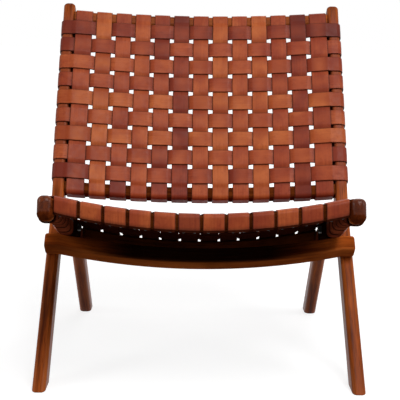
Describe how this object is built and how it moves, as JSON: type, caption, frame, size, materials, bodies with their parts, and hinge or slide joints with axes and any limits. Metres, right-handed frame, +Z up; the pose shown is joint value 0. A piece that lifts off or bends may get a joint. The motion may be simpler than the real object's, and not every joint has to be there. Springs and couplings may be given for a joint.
{
  "type": "folding lounge chair",
  "caption": "Folding lounge chair: crossed hardwood frames turn on side bolts and carry a dished back and seat of interlaced leather straps.",
  "frame": {"origin": "on the floor, in the middle of the space that the chair takes up", "axes": "+Z up, +Y to the rear, +X to the sitter's left, which is the viewer's right from the front"},
  "size_m": [0.6368, 0.7074, 0.7307],
  "materials": {
    "hardwood": "dark red-brown stain under satin lacquer",
    "leather_tan": "polished saddle leather, orange tan",
    "leather_russet": "polished saddle leather, russet",
    "leather_chestnut": "polished saddle leather, chestnut",
    "leather_oxblood": "polished saddle leather, dark oxblood",
    "steel": "plain zinc-plated fasteners"
  },
  "bodies": {
    "back_frame": {"back_bottom_bar": "hardwood", "back_cross_strap_1": "leather_chestnut", "back_cross_strap_2": "leather_russet", "back_cross_strap_3": "leather_tan", "back_cross_strap_4": "leather_russet", "back_cross_strap_5": "leather_tan", "back_cross_strap_6": "leather_chestnut", "back_cross_strap_7": "leather_russet", "back_cross_strap_8": "leather_chestnut", "back_cross_strap_9": "leather_oxblood", "back_long_strap_1": "leather_chestnut", "back_long_strap_10": "leather_tan", "back_long_strap_11": "leather_chestnut", "back_long_strap_12": "leather_oxblood", "back_long_strap_13": "leather_chestnut", "back_long_strap_2": "leather_tan", "back_long_strap_3": "leather_chestnut", "back_long_strap_4": "leather_russet", "back_long_strap_5": "leather_chestnut", "back_long_strap_6": "leather_oxblood", "back_long_strap_7": "leather_russet", "back_long_strap_8": "leather_tan", "back_long_strap_9": "leather_russet", "back_post_left": "hardwood", "back_post_right": "hardwood", "back_top_bar": "hardwood", "cross_rail": "hardwood", "pivot_bolt_left": "steel", "pivot_bolt_right": "steel", "pivot_nut_left": "steel", "pivot_nut_right": "steel", "pivot_washer_left": "steel", "pivot_washer_right": "steel"},
    "seat_frame": {"seat_cross_strap_1": "leather_chestnut", "seat_cross_strap_10": "leather_chestnut", "seat_cross_strap_2": "leather_russet", "seat_cross_strap_3": "leather_tan", "seat_cross_strap_4": "leather_russet", "seat_cross_strap_5": "leather_tan", "seat_cross_strap_6": "leather_chestnut", "seat_cross_strap_7": "leather_russet", "seat_cross_strap_8": "leather_chestnut", "seat_cross_strap_9": "leather_oxblood", "seat_front_bar": "hardwood", "seat_long_strap_1": "leather_chestnut", "seat_long_strap_10": "leather_tan", "seat_long_strap_11": "leather_chestnut", "seat_long_strap_12": "leather_oxblood", "seat_long_strap_2": "leather_tan", "seat_long_strap_3": "leather_chestnut", "seat_long_strap_4": "leather_russet", "seat_long_strap_5": "leather_chestnut", "seat_long_strap_6": "leather_oxblood", "seat_long_strap_7": "leather_russet", "seat_long_strap_8": "leather_tan", "seat_long_strap_9": "leather_russet", "seat_rail_left": "hardwood", "seat_rail_right": "hardwood", "seat_rear_bar": "hardwood"}
  },
  "joints": [
    {"name": "seat_fold", "type": "hinge", "parent": "back_frame", "child": "seat_frame", "pos_m": [0, 0.03594, 0.26055], "axis": [-1, 0, 0], "range_deg": [0, 69]}
  ]
}
